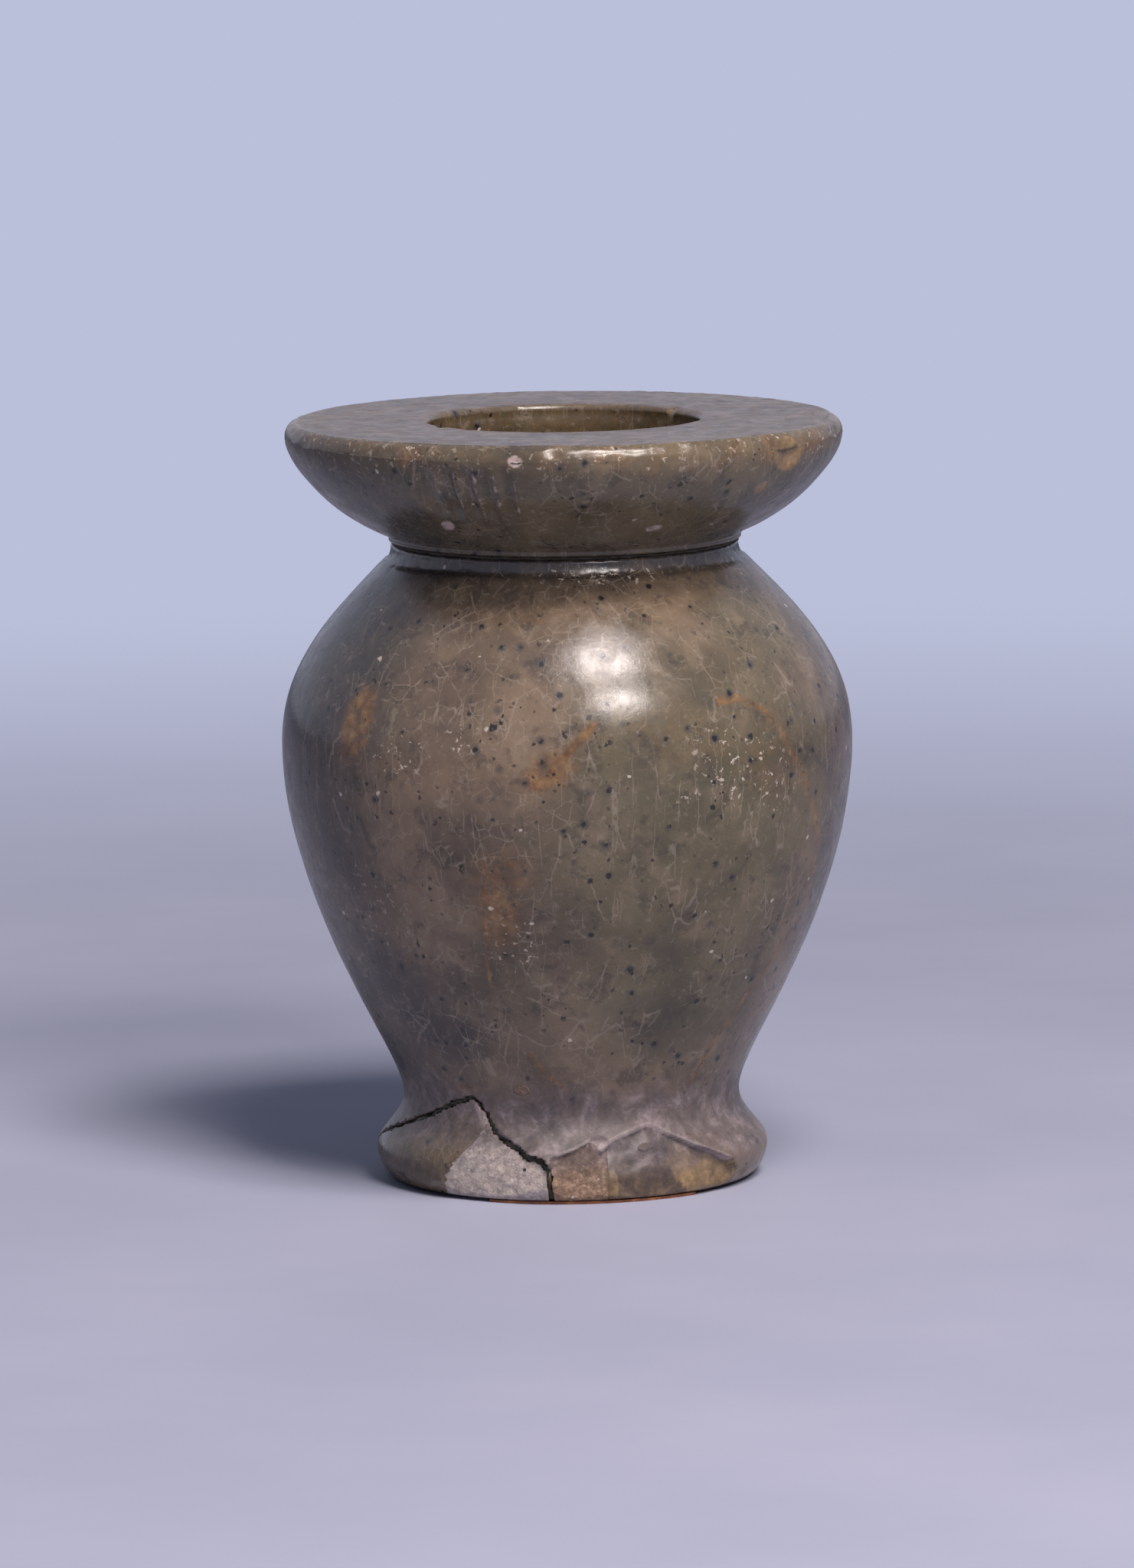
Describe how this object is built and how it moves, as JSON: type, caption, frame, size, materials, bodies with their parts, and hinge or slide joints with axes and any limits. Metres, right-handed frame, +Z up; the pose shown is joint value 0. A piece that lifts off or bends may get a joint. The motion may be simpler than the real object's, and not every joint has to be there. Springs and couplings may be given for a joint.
{
  "type": "kohl vessel",
  "caption": "Small footed stone jar with a full shoulder, narrow neck, wide flat rim and drilled well, its broken foot mended with a glued shard.",
  "frame": {"origin": "middle of the face the vessel rests on", "axes": "+Z up along the vessel's axis, -Y to the front, where the mended break shows"},
  "size_m": [0.0344, 0.0344, 0.046],
  "materials": {
    "jar_stone": "polished mottled olive-brown stone with dark specks, pale hairlines and ochre veins",
    "rim_stone": "polished stone as the jar, with an ochre-brown worn edge and a flat ground top",
    "shard_stone": "the same stone, paler and matt, with a granular fracture scar",
    "bedding_mortar": "dark dry mortar with pale grains",
    "glue": "aged dark olive adhesive, uneven",
    "label_paper": "thin brown paper, copper-coloured at the cut edge",
    "kohl": "dry black powder crust, cracked"
  },
  "bodies": {
    "root": {"vessel_body": "jar_stone", "rim_collar": "rim_stone", "rim_bedding": "bedding_mortar", "foot_shard": "shard_stone", "shard_glue": "glue", "base_label": "label_paper", "kohl_residue": "kohl"}
  },
  "joints": []
}
